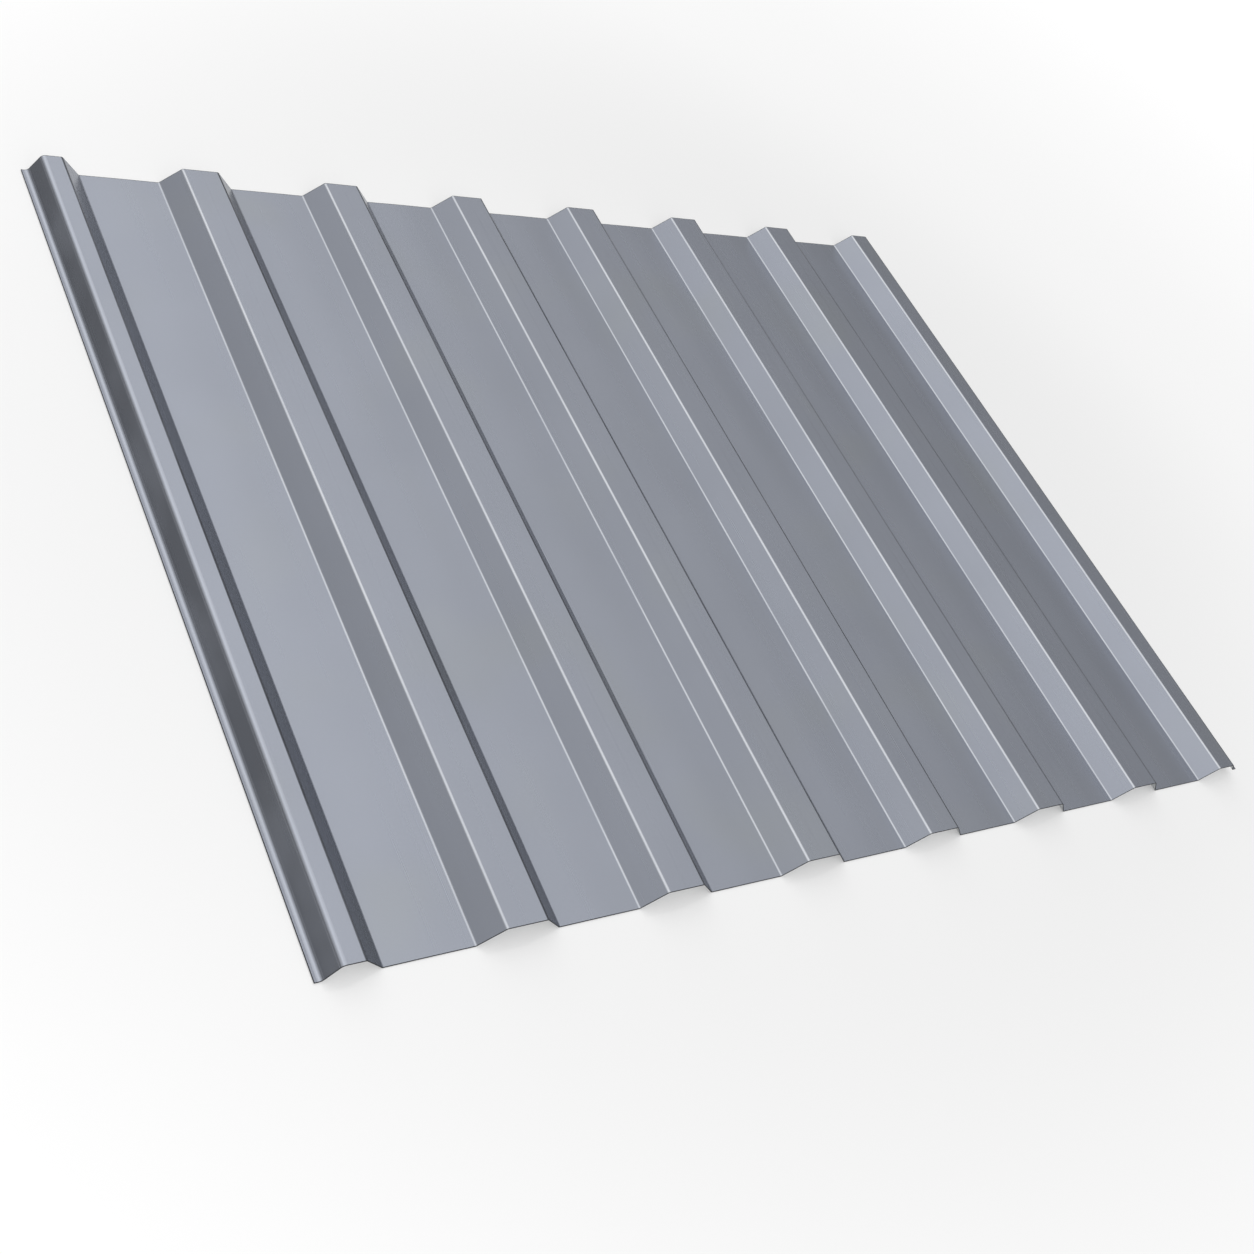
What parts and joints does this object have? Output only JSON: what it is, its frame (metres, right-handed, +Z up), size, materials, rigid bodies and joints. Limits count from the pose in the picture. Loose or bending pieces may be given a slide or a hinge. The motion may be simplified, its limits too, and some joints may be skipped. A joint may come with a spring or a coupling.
{
  "type": "corrugated metal sheet",
  "caption": "Box-rib profiled steel sheet in a grey coating, with flat pans, a narrow lap rib at one edge and a free lap leg at the other, for roofs and walls.",
  "frame": {"origin": "bottom centre: the middle of the sheet's width and length, on the pans' undersides", "axes": "+X across the ribs from the narrow rib to the free leg, +Y along the ribs, +Z up"},
  "size_m": [1.103, 0.84, 0.0197],
  "materials": {
    "coated_steel": "satin"
  },
  "bodies": {
    "root": {"profiled_sheet": "coated_steel"}
  },
  "joints": []
}
